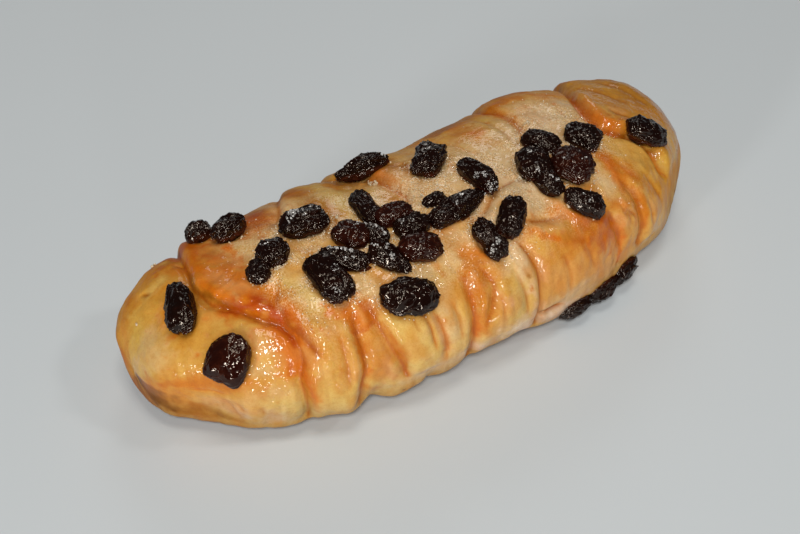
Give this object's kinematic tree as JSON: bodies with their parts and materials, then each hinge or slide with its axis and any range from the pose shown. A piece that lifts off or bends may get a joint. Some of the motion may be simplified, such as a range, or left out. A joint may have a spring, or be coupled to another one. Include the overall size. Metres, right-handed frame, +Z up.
{
  "type": "raisin bread",
  "caption": "Oblong folded raisin bread, baked golden, with plump dark raisins pressed into its glazed crust and a flat underside to rest on.",
  "frame": {"origin": "middle of the underside, at the centre of the bounding box's base", "axes": "+X along the loaf, -Y towards its near side with most folds in view, +Z up"},
  "size_m": [0.179, 0.0734, 0.0464],
  "materials": {
    "crust": "satin",
    "raisin": "gloss"
  },
  "bodies": {
    "root": {"bread": "crust", "raisin_01": "raisin", "raisin_02": "raisin", "raisin_03": "raisin", "raisin_04": "raisin", "raisin_05": "raisin", "raisin_06": "raisin", "raisin_07": "raisin", "raisin_08": "raisin", "raisin_09": "raisin", "raisin_10": "raisin", "raisin_11": "raisin", "raisin_12": "raisin", "raisin_13": "raisin", "raisin_14": "raisin", "raisin_15": "raisin", "raisin_16": "raisin", "raisin_17": "raisin", "raisin_18": "raisin", "raisin_19": "raisin", "raisin_20": "raisin", "raisin_21": "raisin", "raisin_22": "raisin", "raisin_23": "raisin", "raisin_24": "raisin", "raisin_25": "raisin", "raisin_26": "raisin", "raisin_27": "raisin", "raisin_28": "raisin", "raisin_29": "raisin", "raisin_30": "raisin", "raisin_31": "raisin", "raisin_32": "raisin", "raisin_33": "raisin", "raisin_34": "raisin", "raisin_35": "raisin"}
  },
  "joints": []
}
